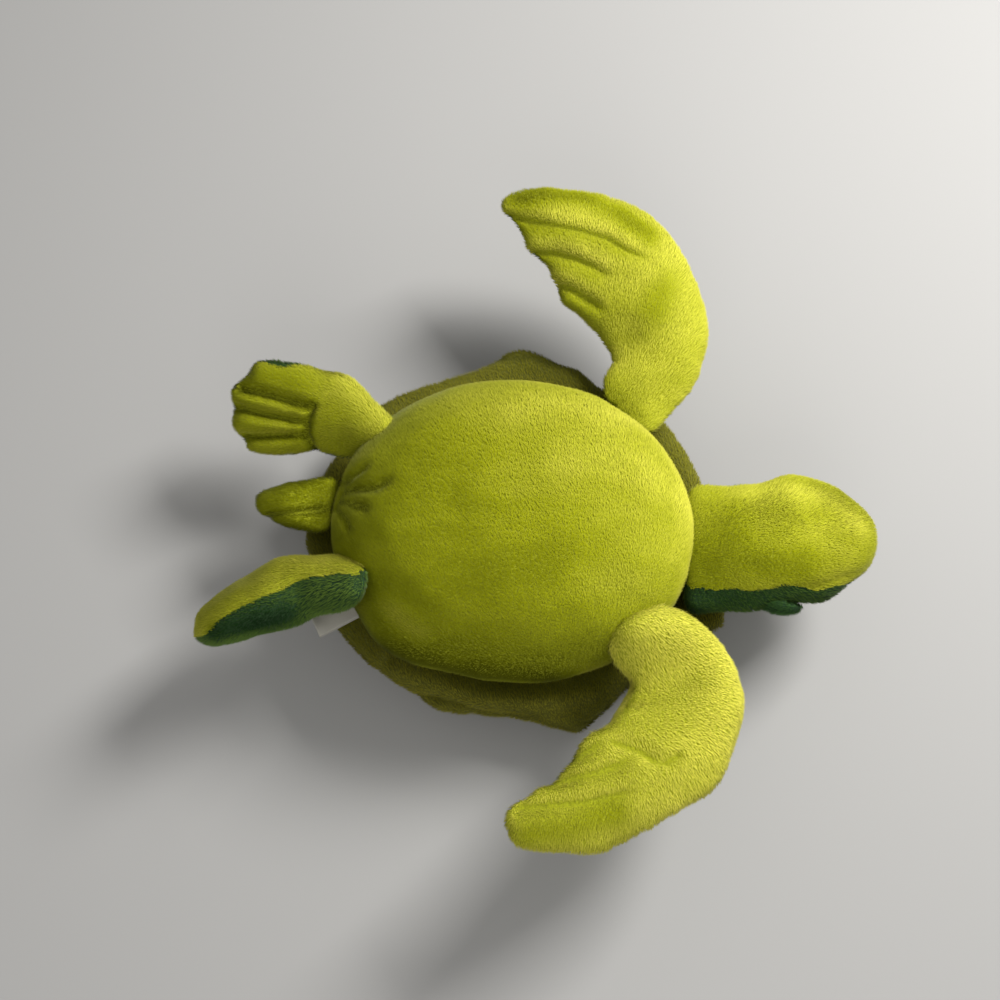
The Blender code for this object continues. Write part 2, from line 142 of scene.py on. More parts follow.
floor_paint, _ = simple_material("floor_paint", (0.42, 0.42, 0.42), 0.9)
floor_shape = bmesh.new()
bmesh.ops.create_grid(floor_shape, x_segments=1, y_segments=1, size=30)
floor = object_from("floor", floor_shape, floor_paint)
print("floor laid at height 0")


# %% Lamps and world
def soft_lamp(name, place, size, watts):
    """A square, slightly warm area lamp that faces the toy."""
    light = bpy.data.lights.new(name, "AREA")
    light.shape = "SQUARE"
    light.size = size
    light.energy = watts
    light.color = (1.0, 0.98, 0.94)
    lamp = bpy.data.objects.new(name, light)
    lamp.location = place
    aim = (Vector((0, 0, look_height)) - Vector(place)).to_track_quat("-Z", "Y")
    lamp.rotation_euler = aim.to_euler()
    scene.collection.objects.link(lamp)


soft_lamp("key_lamp", (0.74, 0.66, 1.02), 0.5, 24)
soft_lamp("fill_lamp", (0.1, -1.15, 0.95), 1.0, 5)
world = bpy.data.worlds.new("studio")
world.use_nodes = True
world.node_tree.nodes["Background"].inputs["Color"].default_value = (1.0, 0.985, 0.955, 1)
world.node_tree.nodes["Background"].inputs["Strength"].default_value = 0.36
scene.world = world
scene.view_settings.view_transform = "Standard"
print("two lamps and an even world")

# %% [markdown]
# ## Stuffed forms
# A real limb is two panels of plush, sewn inside out, turned and stuffed. Its form could be drawn by hand,
# but blowing up a slightly smaller form with Blender's Cloth gives the rounded middle and the small puckers
# along the seams that stuffing gives. So each form starts as a copy of the CAD filling, gets an even net of
# faces, is blown up, and no point may move further than a cap.

# %% Reading and moving points
def vectors_in(layer, key):
    """The vectors that a mesh holds in one of its layers, as an array."""
    values = np.empty(len(layer) * 3, np.float32)
    layer.foreach_get(key, values)
    return values.reshape(-1, 3)


def points_of(piece):
    """All the points of a piece as an array."""
    return vectors_in(piece.data.vertices, "co").astype(float)


def normals_of(piece):
    """The direction out of the surface at each point."""
    return vectors_in(piece.data.vertex_normals, "vector").astype(float)


def place_points(piece, places):
    """Moves all the points of a piece."""
    piece.data.vertices.foreach_set("co", places.astype(np.float32).ravel())
    piece.data.update()


def eased(share):
    """A share from nothing to one that starts and ends gently."""
    return share * share * (3 - 2 * share)


def settle(piece):
    """Applies a piece's modifiers."""
    depsgraph = bpy.context.evaluated_depsgraph_get()
    finished = bpy.data.meshes.new_from_object(
        piece.evaluated_get(depsgraph), preserve_all_data_layers=True, depsgraph=depsgraph)
    old = piece.data
    piece.modifiers.clear()
    piece.data = finished
    bpy.data.meshes.remove(old)


# %% An even form from a CAD filling
cloth_and_gap = 0.0021
pile_room = 0.0012
same_point = 0.00002


def even_form(name, filling, voxel, grow, pockets=False):
    """The CAD filling, merged, smoothed and grown, as a net of even faces. A hull closes its pockets."""
    shape = bmesh.new()
    shape.from_mesh(frame["nodes"][filling].data)
    bmesh.ops.remove_doubles(shape, verts=shape.verts, dist=same_point)
    if pockets:
        bmesh.ops.delete(shape, geom=shape.faces[:], context="FACES_ONLY")
        bmesh.ops.convex_hull(shape, input=shape.verts)
        spare = [point for point in shape.verts if not point.link_faces]
        bmesh.ops.delete(shape, geom=spare, context="VERTS")
        wires = [edge for edge in shape.edges if not edge.link_faces]
        bmesh.ops.delete(shape, geom=wires, context="EDGES")
    bmesh.ops.recalc_face_normals(shape, faces=shape.faces)
    piece = object_from(name, shape)
    rounding = piece.modifiers.new("rounding", "SUBSURF")
    rounding.levels = rounding.render_levels = 2
    settle(piece)
    place_points(piece, points_of(piece) + normals_of(piece) * grow)
    net = piece.modifiers.new("even_net", "REMESH")
    net.mode = "VOXEL"
    net.voxel_size = voxel
    settle(piece)
    return piece


# %% Stuffing by cloth simulation
stuffing_frames = 20


def stuff(piece, pressure, cap, seam_weights, held_weights):
    """Blows a form up while its seams draw in. Returns how far it moved on average."""
    start = points_of(piece)
    cloth = piece.modifiers.new("stuffing", "CLOTH")
    cloth.settings.quality = 5
    cloth.settings.mass = 0.2
    cloth.settings.tension_stiffness = cloth.settings.compression_stiffness = 40
    cloth.settings.bending_stiffness = 0.3
    cloth.settings.use_pressure = True
    cloth.settings.uniform_pressure_force = pressure
    cloth.settings.effector_weights.gravity = 0
    cloth.collision_settings.use_collision = False
    for group, weights in (("seam", seam_weights), ("held", held_weights)):
        made = piece.vertex_groups.new(name=group)
        for i in np.flatnonzero(weights > 0):
            made.add([int(i)], float(weights[i]), "REPLACE")
    cloth.settings.vertex_group_shrink = "seam"
    cloth.settings.shrink_max = 0.05
    cloth.settings.vertex_group_mass = "held"
    for step in range(1, stuffing_frames + 1):
        scene.frame_set(step)
    evaluated = piece.evaluated_get(bpy.context.evaluated_depsgraph_get())
    blown = vectors_in(evaluated.to_mesh().vertices, "co")
    evaluated.to_mesh_clear()
    piece.modifiers.remove(cloth)
    piece.vertex_groups.clear()
    scene.frame_set(1)
    shift = blown - start
    length = np.linalg.norm(shift, axis=1)
    moved = np.minimum(length, cap)
    place_points(piece, start + shift * (moved / np.maximum(length, 1e-9))[:, None])
    return moved.mean()


# %% Which side of the seam a point is on
def tree_of(*nodes):
    """A search tree over the surfaces of some CAD nodes."""
    places = []
    faces = []
    for node in nodes:
        mesh = frame["nodes"][node].data
        first = len(places)
        places += [point.co.copy() for point in mesh.vertices]
        faces += [[first + i for i in face.vertices] for face in mesh.polygons]
    return BVHTree.FromPolygons(places, faces)


def seam_side(form, above, below):
    """For each point, how much nearer it lies to the panel below than to the one above."""
    return np.array([
        above.find_nearest(point.co)[3] - below.find_nearest(point.co)[3] for point in form.data.vertices
    ])


# %% Fitting a form into its cloth
facet_rounds = 12
voxel_rounds = 3


def averaged(form, values, rounds):
    """Values at the points, each averaged with its neighbours' this many times."""
    ends = np.empty(len(form.data.edges) * 2, np.int32)
    form.data.edges.foreach_get("vertices", ends)
    ends = ends.reshape(-1, 2)
    count = np.bincount(ends.ravel(), minlength=len(values)) + 1
    for _ in range(rounds):
        total = values.copy()
        np.add.at(total, ends[:, 0], values[ends[:, 1]])
        np.add.at(total, ends[:, 1], values[ends[:, 0]])
        values = (total.T / count).T
    return values


def soften(form, rounds):
    """Smooths a form all over."""
    place_points(form, averaged(form, points_of(form), rounds))


def fit_inside(form, cloth_tree):
    """Grows a form to the inner face of its CAD cloth. Averaging keeps the CAD's flat facets out."""
    places = points_of(form)
    out = normals_of(form)
    nearest = np.array([cloth_tree.find_nearest(place)[0] for place in places])
    missing = ((nearest - places) * out).sum(axis=1)
    place_points(form, places + out * averaged(form, missing, facet_rounds)[:, None])


def refine(form):
    """Smooths away the steps of the voxels, then halves every face."""
    soften(form, voxel_rounds)
    finer = form.modifiers.new("finer", "SUBSURF")
    finer.levels = finer.render_levels = 1
    settle(form)


# %% The forms, and how much each is blown up
limbs = ("front_flipper_left", "front_flipper_right", "rear_flipper_left", "rear_flipper_right", "tail")
sewn_from = {
    "torso": ("body_filling", ["belly_panel"], ["shell_panel"]),
    "rim": ("rim_filling", ["rim_underside_panel"], ["rim_top_panel"]),
    "head": ("head_filling", ["throat_panel"], ["crown_panel_left", "crown_panel_right"]),
}
for limb in limbs:
    sewn_from[limb] = (limb + "_filling", [limb + "_underside"], [limb + "_top"])
usual_voxel = 0.0036
voxels = {"torso": 0.0052, "rim": 0.0044, "tail": 0.0030}
usual_cap = 0.0045
caps = {"rim": 0.0030, "tail": 0.0030}
seam_width = 0.007
sewn_reach = 0.010
stuffing_hold = 0.2
pressure = 200
start_inset = 0.0010
forms = {}
for name, (filling, lime_panels, back_panels) in sewn_from.items():
    grow = cloth_and_gap - pile_room - start_inset
    form = even_form(name + "_form", filling, voxels.get(name, usual_voxel), grow, pockets=(name == "head"))
    side = seam_side(form, tree_of(*back_panels), tree_of(*lime_panels))
    sewn_to = ("rim_underside_panel", "rim_top_panel") if name == "torso" else ("belly_panel", "shell_panel")
    anchors = tree_of(*sewn_to)
    near = np.array([anchors.find_nearest(point.co)[3] for point in form.data.vertices])
    held = np.clip(1 - near / sewn_reach, stuffing_hold, 1)
    seam = np.clip(1 - np.abs(side) / seam_width, 0, 1)
    moved = stuff(form, pressure, caps.get(name, usual_cap), seam, held)
    refine(form)
    fit_inside(form, tree_of(*lime_panels, *back_panels))
    forms[name] = form
    print(name, "has", len(form.data.polygons), "faces; moved", round(moved * 1000, 1), "mm on average")


# %% [markdown]
# ## Roots
# Every limb is sewn to the belly's side. In the CAD a small gap keeps the limbs free to turn. Cloth has no
# gap there, so each form's root is drawn inward until it meets the belly, and near its seam it will later
# follow the torso instead of the limb.

# %% Drawing the roots in
hinges = {joint["child"]: Vector(joint["pos_m"]) for joint in frame["joints"]}
root_reach = 0.016
usual_draw = 0.0045
root_draw = {"head": 0.006}


def surface_of(form):
    """A search tree over a form as it now is."""
    return BVHTree.FromPolygons(
        [point.co.copy() for point in form.data.vertices],
        [list(face.vertices) for face in form.data.polygons],
    )


torso_tree = surface_of(forms["torso"])
for name, hinge in hinges.items():
    form = forms[name]
    places = points_of(form)
    seat, outward, _, _ = torso_tree.find_nearest(hinge)
    beyond = (places - np.array(seat)) @ np.array(outward)
    share = np.clip(1 - beyond / root_reach, 0, 1)
    draw = root_draw.get(name, usual_draw)
    place_points(form, places - np.outer(share * draw, outward))
    print(name, "root drawn in by", round(draw * 1000, 1), "mm")


# %% [markdown]
# ## Stitches and creases
# The flippers are quilted: rows of stitches hold both faces together and leave puffed rays between them. A
# sculptor would press these in with a brush. Here the brush is code: each line of pixels is read off the
# photograph, thrown along the camera's sight onto the form, and the cloth near it is pressed in.

# %% From a pixel of the photograph to the cloth
def sight_through(x, y):
    """Where the camera stands, and the way it looks through a pixel."""
    eye = target + back * camera_distance
    seen = target + ((x - frame_pixels / 2) * right + (frame_pixels / 2 - y) * up) * metres_per_pixel
    return eye, (seen - eye).normalized()


def near_sight(places, pixel, reach, plateau):
    """For each place, how close it is to the sight through a pixel: one on it, nothing at the reach.
    A plateau over one holds the full share for longer."""
    eye, sight = sight_through(*pixel)
    away = places - np.array(eye)
    off = np.linalg.norm(away - np.outer(away @ np.array(sight), sight), axis=1)
    return np.clip(plateau - plateau * off / reach, 0, 1)


def steps_along(line, gap):
    """Places along a line of corners, no further apart than gap, each with its share of the way."""
    lengths = [math.dist(a, b) for a, b in zip(line, line[1:])]
    done = 0
    for a, b, length in zip(line, line[1:], lengths):
        count = max(1, math.ceil(length / gap))
        for i in range(count):
            share = i / count
            yield tuple(p + (q - p) * share for p, q in zip(a, b)), (done + length * share) / sum(lengths)
        done += length
    yield line[-1], 1.0


pixel_step = 1.5
skin_step = 0.0005


def stitch_points(form, line, through=True):
    """Points on the cloth under a line of pixels, with their share of the way, and those behind them."""
    surface = surface_of(form)
    found = []
    for (x, y), share in steps_along(line, pixel_step):
        eye, sight = sight_through(x, y)
        place, out, _, _ = surface.ray_cast(eye, sight)
        if place is None:
            continue
        found.append((place, share))
        behind = surface.ray_cast(place - out * skin_step, -out)[0] if through else None
        if behind is not None:
            found.append((behind, share))
    return found


# %% Pressing, grabbing and kneading the cloth
stitched = {}
painted_light_and_shade = {}
stitch_width = 0.0030
stitch_depth = 0.0015
least_press = 0.0002
room_share = 0.42
band_rise = 0.004
band_reach = 0.007


def nearest_of(places):
    """A search tree over some places."""
    tree = KDTree(len(places))
    for i, place in enumerate(places):
        tree.insert(place, i)
    tree.balance()
    return tree


def room_inside(form, chosen):
    """How far the chosen points can be pressed in before they meet the cloth of the far side."""
    surface = surface_of(form)
    room = np.full(len(form.data.vertices), np.inf)
    for i in chosen:
        point = form.data.vertices[i]
        distance = surface.ray_cast(point.co - point.normal * skin_step, -point.normal)[3]
        if distance is not None:
            room[i] = distance * room_share
    return room


def paint_light_and_shade(form, amount):
    """Adds painted light to the colour of a form's pile, or painted shade where the amount is under nothing.
    """
    painted_light_and_shade[form.name] = painted_light_and_shade.get(form.name, 0) + amount


def press(form, points, width, depth, start=0.0, end=1.0, painted_band=0.0):
    """Presses the cloth in along points. It fades in by the share start, and out from the share end.
    The pile is told where the stitches are and, with a band, is painted lighter above them and darker below,
    as painted light and shade."""
    if not points:
        return
    lines = nearest_of([place for place, _ in points])
    places = points_of(form)
    found = [lines.find(place) for place in places]
    away = np.array([distance for _, _, distance in found])
    share = np.clip(1 - away / width, 0, 1)
    way = np.array([points[i][1] for _, i, _ in found])
    ease = np.clip(way / max(start, 1e-3), 0, 1) * np.clip((1 - way) / max(1 - end, 1e-3), 0, 1)
    move = eased(share) * ease * depth
    if depth > 0:
        move = np.minimum(move, room_inside(form, np.flatnonzero(move > least_press)))
    place_points(form, places - normals_of(form) * move[:, None])
    if depth > stitch_depth:
        crisp = np.clip(1 - away / stitch_width, 0, 1) * ease
        stitched[form.name] = np.maximum(stitched.get(form.name, 0), crisp)
    # painted light and shade: the pile's colour is lighter above a stitched line and darker below it
    above = np.clip((places - np.array([spot for spot, _, _ in found])) @ np.array(up) / band_rise, -1, 1)
    close = np.clip(1.6 - away / band_reach, 0, 1)
    paint_light_and_shade(form, painted_band * ease * above * close)


def grab(form, start, end, reach, lift=0.0, loose=1.0):
    """Drags the cloth from pixel to pixel, as a sculptor's grab brush does, and lifts it to the camera."""
    places = points_of(form)
    drag = ((end[0] - start[0]) * right - (end[1] - start[1]) * up) * metres_per_pixel + back * lift
    fall = eased(near_sight(places, start, reach, 1)) * loose
    place_points(form, places + np.outer(fall, drag))


def knead(form, size, height, seed):
    """Gives the stuffing its soft lumps."""
    places = points_of(form)
    rise = np.array([noise.noise(Vector(place) / size + Vector((seed, 0, 0))) for place in places])
    place_points(form, places + normals_of(form) * (rise * height)[:, None])


def press_seam(form, side, width, depth):
    """A seam pulls the cloth in where its two panels meet."""
    fall = eased(np.clip(1 - np.abs(side) / width, 0, 1))
    place_points(form, points_of(form) - normals_of(form) * (fall * depth)[:, None])


# %% Lumps and seams on every form
lump_size = 0.028
lump_height = 0.0009
tail_lump_height = 0.0006
dent_height = 0.0003
front_rounds = 24
usual_rounds = 6
groove_width = 0.004
groove_depth = 0.0010
side_shifts = {
    # more of the lime side where it is over nothing
    "rear_flipper_left": -0.006, "front_flipper_left": 0.004, "front_flipper_right": 0.003, "tail": 0.008,
}
sides = {}
for seed, (name, form) in enumerate(forms.items()):
    knead(form, lump_size, tail_lump_height if name == "tail" else lump_height, seed)
    knead(form, lump_size / 3, dent_height, seed + 50)
    _, lime_panels, back_panels = sewn_from[name]
    side = seam_side(form, tree_of(*back_panels), tree_of(*lime_panels))
    sides[name] = averaged(form, side, front_rounds if name.startswith("front") else usual_rounds)
    sides[name] += side_shifts.get(name, 0)
    press_seam(form, sides[name], groove_width, groove_depth)
print("kneaded and seamed", len(forms), "forms")

# %% Shaping each outline with the grab brush
grabs = {
    # form: (from pixel, to pixel, reach, lift)
    "torso": [((400, 630), (392, 639), 0.05, 0)],
    "rim": [
        ((520, 366), (522, 349), 0.04, 0),
        ((570, 382), (576, 375), 0.02, 0),
        ((440, 696), (439, 706), 0.035, 0),
        ((560, 708), (562, 724), 0.032, 0),
        ((584, 716), (587, 730), 0.022, 0),
        ((604, 700), (610, 706), 0.018, 0),
        ((702, 613), (726, 625), 0.025, 0.006),
    ],
    "head": [
        ((708, 588), (705, 601), 0.026, 0),
        ((704, 598), (693, 607), 0.02, 0.002),
        ((760, 597), (758, 603), 0.03, 0),
        ((702, 494), (696, 487), 0.018, 0),
        ((846, 588), (841, 583), 0.022, 0),
        ((740, 604), (739, 610), 0.024, 0),
        ((868, 530), (872, 529), 0.025, 0),
        ((785, 482), (783, 477), 0.022, 0),
    ],
    "tail": [
        ((300, 498), (301, 506), 0.05, 0),
        ((316, 518), (318, 525), 0.016, 0),
        ((330, 486), (332, 476), 0.018, 0.002),
    ],
    "front_flipper_right": [
        ((514, 206), (504, 203), 0.03, 0),
        ((650, 222), (650, 221), 0.03, 0),
        ((694, 332), (702, 334), 0.045, 0),
        ((588, 303), (562, 311), 0.036, 0),
        ((546, 262), (535, 265), 0.024, 0),
        ((604, 332), (594, 344), 0.024, 0),
        ((618, 346), (613, 358), 0.018, 0),
        ((534, 244), (528, 247), 0.018, 0),
        ((545, 196), (545, 193), 0.024, 0),
        ((688, 392), (696, 390), 0.03, 0),
        ((620, 376), (618, 372), 0.026, 0.002),
        ((640, 420), (642, 428), 0.022, 0.004),
    ],
    "front_flipper_left": [
        ((648, 706), (618, 700), 0.03, 0),
        ((640, 716), (624, 713), 0.022, 0),
        ((634, 652), (619, 638), 0.03, 0.012),
        ((645, 638), (630, 622), 0.034, 0.014),
        ((666, 626), (662, 613), 0.03, 0.01),
        ((690, 628), (692, 622), 0.026, 0.004),
        ((611, 690), (626, 684), 0.018, 0),
        ((556, 770), (562, 777), 0.03, 0),
        ((682, 824), (672, 815), 0.036, 0),
        ((640, 845), (636, 839), 0.03, 0),
        ((728, 690), (737, 690), 0.042, 0),
        ((712, 642), (720, 638), 0.034, 0.003),
    ],
    "rear_flipper_right": [
        ((238, 370), (247, 376), 0.016, 0),
        ((234, 412), (238, 412), 0.02, 0),
        ((236, 442), (243, 443), 0.014, 0),
        ((340, 440), (343, 452), 0.024, 0.002),
        ((372, 436), (378, 443), 0.022, 0.01),
        ((348, 388), (352, 380), 0.022, 0.002),
        ((376, 416), (390, 420), 0.034, 0.02),
    ],
    "rear_flipper_left": [
        ((335, 585), (338, 559), 0.034, 0.008),
        ((345, 592), (366, 580), 0.03, 0.016),
        ((350, 590), (364, 601), 0.026, 0.01),
        ((335, 600), (340, 605), 0.024, 0.004),
        ((290, 572), (289, 563), 0.028, 0),
        ((235, 630), (238, 636), 0.028, 0),
        ((270, 622), (270, 627), 0.025, 0),
    ],
}
belly = surface_of(forms["torso"])
rim_gap = np.array([belly.find_nearest(point.co)[3] for point in forms["rim"].data.vertices])
looseness = {"rim": np.clip((rim_gap - 0.004) / 0.012, 0, 1)}
for name, moves in grabs.items():
    for start, end, reach, lift in moves:
        grab(forms[name], start, end, reach, lift, looseness.get(name, 1))
    soften(forms[name], 2)
print("outlines shaped with", sum(len(moves) for moves in grabs.values()), "grabs")

# %% The rim sits tight against the belly
def seat_on(form, tree, reach, sink):
    """Draws the points near another surface onto it, and a little into it."""
    places = points_of(form)
    for i, place in enumerate(places):
        spot, out, _, distance = tree.find_nearest(Vector(place))
        share = min(max(0.0, 1 - distance / reach) * 1.7, 1.0)
        places[i] += eased(share) * (np.array(spot - out * sink) - place)
    place_points(form, places)


seat_on(forms["rim"], surface_of(forms["torso"]), 0.012, 0.001)
print("rim seated on the belly")

# %% The quilted rays of the flippers
rays = {
    "front_flipper_right": [
        [(507, 218), (530, 222), (553, 225), (580, 230), (607, 238), (627, 250), (655, 263)],
        [(530, 256), (553, 254), (577, 260), (597, 269), (613, 279)],
        [(550, 287), (570, 290), (583, 298), (595, 305), (606, 314)],
    ],
    "front_flipper_left": [
        [(517, 804), (540, 803), (563, 802), (590, 800), (613, 795), (640, 787)],
        [(549, 781), (570, 776), (590, 772), (610, 766), (626, 759), (638, 752)],
        [(566, 760), (580, 752), (592, 745), (606, 737)],
    ],
    "rear_flipper_right": [
        [(236, 387), (247, 390), (277, 398), (313, 408)],
        [(230, 407), (240, 409), (263, 415), (297, 422), (309, 424)],
        [(236, 438), (263, 438), (290, 437), (309, 436)],
    ],
}
ray_folds = {
    # limb: (width and depth of the valley, width and depth of the stitched fold, strength of the painted
    # light and shade bands)
    "front_flipper_right": (0.0085, 0.0022, 0.0038, 0.003, 0.34),
    "front_flipper_left": (0.011, 0.003, 0.0045, 0.0014, 0.14),
    "rear_flipper_right": (0.0075, 0.0062, 0.0046, 0.006, 0.08),
}
for limb, lines in rays.items():
    valley, valley_depth, fold, fold_depth, painted_band = ray_folds[limb]
    for line in lines:
        # the deep stitches of the foot catch its palm only
        marks = stitch_points(forms[limb], line, through=limb.startswith("front"))
        press(forms[limb], marks, valley, valley_depth, 0.0, 0.7)
        press(forms[limb], marks, fold, fold_depth, 0.0, 0.8, painted_band)
    print(limb, "has", len(lines), "rows of stitches")

# %% Dimples, gathers and the rim's puffed layers
creases = {
    # form: (pixels, width, depth)
    "front_flipper_left": [
        ([(608, 738), (623, 743), (638, 748), (653, 758), (668, 766)], 0.0095, 0.0028),
        ([(662, 765), (672, 758), (684, 751)], 0.007, 0.0022),
    ],
    "front_flipper_right": [([(598, 388), (615, 398), (632, 412), (648, 432)], 0.006, 0.001)],
    "rear_flipper_right": [
        ([(317, 402), (308, 420), (307, 434), (313, 447), (324, 457)], 0.0055, 0.0045),
    ],
    "tail": [([(258, 516), (270, 516), (297, 512), (327, 509), (342, 505)], 0.005, 0.0036)],
    "torso": [
        ([(332, 488), (346, 482), (362, 470), (372, 464)], 0.0055, 0.0034),
        ([(332, 494), (350, 490), (376, 488), (396, 478)], 0.006, 0.0036),
        ([(332, 500), (352, 504), (372, 512)], 0.0055, 0.0028),
        ([(332, 506), (344, 518), (352, 534)], 0.0055, 0.0026),
    ],
    "rim": [
        ([(360, 672), (390, 689), (412, 696), (440, 700), (472, 709), (496, 714), (520, 716), (548, 722)],
         0.006, 0.0046),
        ([(470, 372), (500, 360), (530, 357), (560, 370)], 0.005, 0.002),
    ],
}
for name, marks in creases.items():
    for line, width, depth in marks:
        press(forms[name], stitch_points(forms[name], line, through=False), width, depth, 0.1, 0.75)
    print(name, "has", len(marks), "creases")

# %% The round pad of the hind foot, and a full neck
pads = {
    # form: (pixels, width, height)
    "rear_flipper_right": ([(338, 425), (350, 424)], 0.024, 0.0045),
    "rim": ([(396, 673), (440, 688), (480, 699), (520, 702), (560, 702), (588, 696)], 0.01, 0.0035),
    "head": ([(726, 505), (726, 575)], 0.024, 0.003),
}
for name, (line, width, height) in pads.items():
    along_line = [(place, 0.5) for place, _ in stitch_points(forms[name], line, through=False)]
    press(forms[name], along_line, width, -height)
for name, pixel, reach, rounds in (
    ("head", (726, 540), 0.05, 25),
    ("front_flipper_left", (664, 640), 0.036, 14),
    ("front_flipper_left", (565, 775), 0.04, 5),
    ("front_flipper_left", (598, 730), 0.022, 14),
    ("rear_flipper_right", (372, 415), 0.026, 5),
    ("front_flipper_right", (630, 392), 0.026, 8),
):
    # as a sculptor's smooth brush does
    form = forms[name]
    places = points_of(form)
    share = near_sight(places, pixel, reach, 1.5)[:, None]
    place_points(form, places + (averaged(form, places, rounds) - places) * share)
print("pad, rim and neck raised")

# %% Sockets for the eyes
# The shank of each bead pulls the cloth in, so the dome stands clear of the pile.
bead_radius = 0.0070
dome_height = 0.0046
socket_width = 0.0125
shorn_width = bead_radius + 0.003
sockets = []
bead_seats = {}
for hand in ("left", "right"):
    bead_points = points_of(frame["nodes"]["eye_" + hand])
    washer_points = points_of(frame["nodes"]["eye_washer_" + hand])
    seat = washer_points.mean(axis=0)
    bead_out = bead_points.mean(axis=0) - seat
    bead_out /= np.linalg.norm(bead_out)
    seat = seat + bead_out * (((bead_points - seat) @ bead_out).max() - dome_height)
    places = points_of(forms["head"])
    height = (places - seat) @ bead_out
    across = np.linalg.norm(places - seat - np.outer(height, bead_out), axis=1)
    share = np.clip((socket_width - across) / (socket_width - bead_radius - 0.001), 0, 1)
    share = eased(share) * (np.abs(height) < 0.02)
    sunk = np.maximum(height + 0.001, 0) * share
    place_points(forms["head"], places - np.outer(sunk, bead_out))
    sockets.append(share * (across < shorn_width))
    bead_seats[hand] = Vector(seat), Vector(bead_out)
    print("socket", hand, "sunk by up to", round(sunk.max() * 1000, 1), "mm")

# %% Nudging the seams
# The lime side gets more of the cloth round a pixel, or less where the shift is under nothing.
for name, pixel, reach, shift in (
    ("head", (716, 601), 0.017, -0.009),
    ("head", (740, 598), 0.018, -0.006),
    ("head", (698, 604), 0.015, -0.013),
    ("head", (782, 600), 0.02, -0.004),
    ("head", (770, 480), 0.026, 0.01),
    ("head", (826, 582), 0.024, 0.004),
    ("head", (864, 566), 0.022, 0.01),
    ("rear_flipper_right", (282, 358), 0.018, -0.01),
    ("rear_flipper_right", (237, 437), 0.01, 0.005),
    ("rear_flipper_right", (314, 449), 0.012, 0.005),
    ("rear_flipper_left", (362, 558), 0.016, 0.008),
    ("rear_flipper_left", (200, 634), 0.014, 0.005),
):
    sides[name] += shift * near_sight(points_of(forms[name]), pixel, reach, 1.4)
print("seams nudged to where the photograph shows them")

# %% Painted light and shade over the pile
painted_marks = {
    # form: (pixels, reach, how much light is painted into the pile, painted shade where under nothing)
    "front_flipper_right": [
        ([(520, 200), (545, 196), (580, 199), (615, 212), (648, 236)], 0.013, -0.6),
        ([(668, 282), (656, 306)], 0.018, -0.42),
        ([(690, 310), (672, 345), (640, 400)], 0.016, 0.06),
    ],
    "front_flipper_left": [
        ([(650, 700), (664, 728)], 0.02, -0.26),
        ([(530, 830), (570, 826), (615, 812)], 0.014, -0.58),
        ([(718, 660), (730, 700), (722, 740)], 0.018, 0.16),
    ],
    "head": [
        ([(708, 505), (710, 570)], 0.02, -0.24),
        ([(735, 512), (745, 560), (800, 562)], 0.016, -0.34),
        ([(778, 488), (826, 498), (856, 524)], 0.016, 0.22),
    ],
    "torso": [
        ([(392, 610), (418, 634)], 0.014, 0.34),
        ([(400, 656), (470, 672), (560, 678), (600, 668)], 0.024, -0.42),
        ([(440, 500), (490, 550), (560, 560)], 0.04, -0.16),
        ([(470, 412), (540, 410), (600, 430), (640, 470)], 0.028, 0.08),
    ],
    "rim": [
        ([(400, 676), (440, 690), (480, 701), (520, 703), (560, 704), (588, 697)], 0.009, 0.4),
        ([(694, 616), (722, 620)], 0.014, 0.45),
        ([(430, 708), (500, 723), (560, 731), (600, 722)], 0.01, -0.35),
        ([(440, 672), (500, 686), (560, 687), (606, 674)], 0.008, -0.35),
    ],
    "rear_flipper_left": [
        ([(215, 632), (250, 622), (290, 612)], 0.01, -0.5),
        ([(318, 590), (348, 586)], 0.012, 0.34),
    ],
    "rear_flipper_right": [
        ([(350, 385), (380, 415)], 0.018, 0.34),
        ([(245, 378), (300, 384)], 0.018, -0.24),
        ([(236, 387), (277, 398), (313, 408)], 0.005, -0.55),
        ([(230, 407), (263, 415), (309, 424)], 0.005, -0.55),
        ([(236, 438), (290, 437), (309, 436)], 0.005, -0.55),
        ([(315, 405), (311, 432), (320, 455)], 0.007, -0.45),
    ],
}
# Each line paints light (amount over nothing) or shade (under nothing) into the pile's colour near it: lit
# crowns and sides lighter; creases, grooves, the rim's junction with the belly and shaded sides darker.
for name, marks in painted_marks.items():
    form = forms[name]
    for line, reach, amount in marks:
        painted_line_tree = nearest_of([place for place, _ in stitch_points(form, line, through=False)])
        away = np.array([painted_line_tree.find(place)[2] for place in points_of(form)])
        share = np.maximum(0.0, 1 - away / reach)
        paint_light_and_shade(form, amount * eased(share))
    print(name, "was painted_over", len(marks), "times")

# %% The quilted shell
# Six rows of stitches cross the dome, and two zigzags run along it: the plates of a sea turtle's shell.
quilt_step = 0.001
quilt_width = 0.0065
quilt_depth = 0.0024


def shell_points(corners):
    """Points on the dome, found from below, for corners given as shares of its half length and width."""
    low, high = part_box("shell_panel")
    middle = (Vector(low) + Vector(high)) / 2
    half = (Vector(high) - Vector(low)) / 2
    dome = surface_of(forms["torso"])
    line = [(middle.x + x * half.x, middle.y + y * half.y) for x, y in corners]
    found = []
    for (x, y), share in steps_along(line, quilt_step):
        place = dome.ray_cast(Vector((x, y, -0.1)), Vector((0, 0, 1)))[0]
        if place is not None:
            found.append((place, share))
    return found


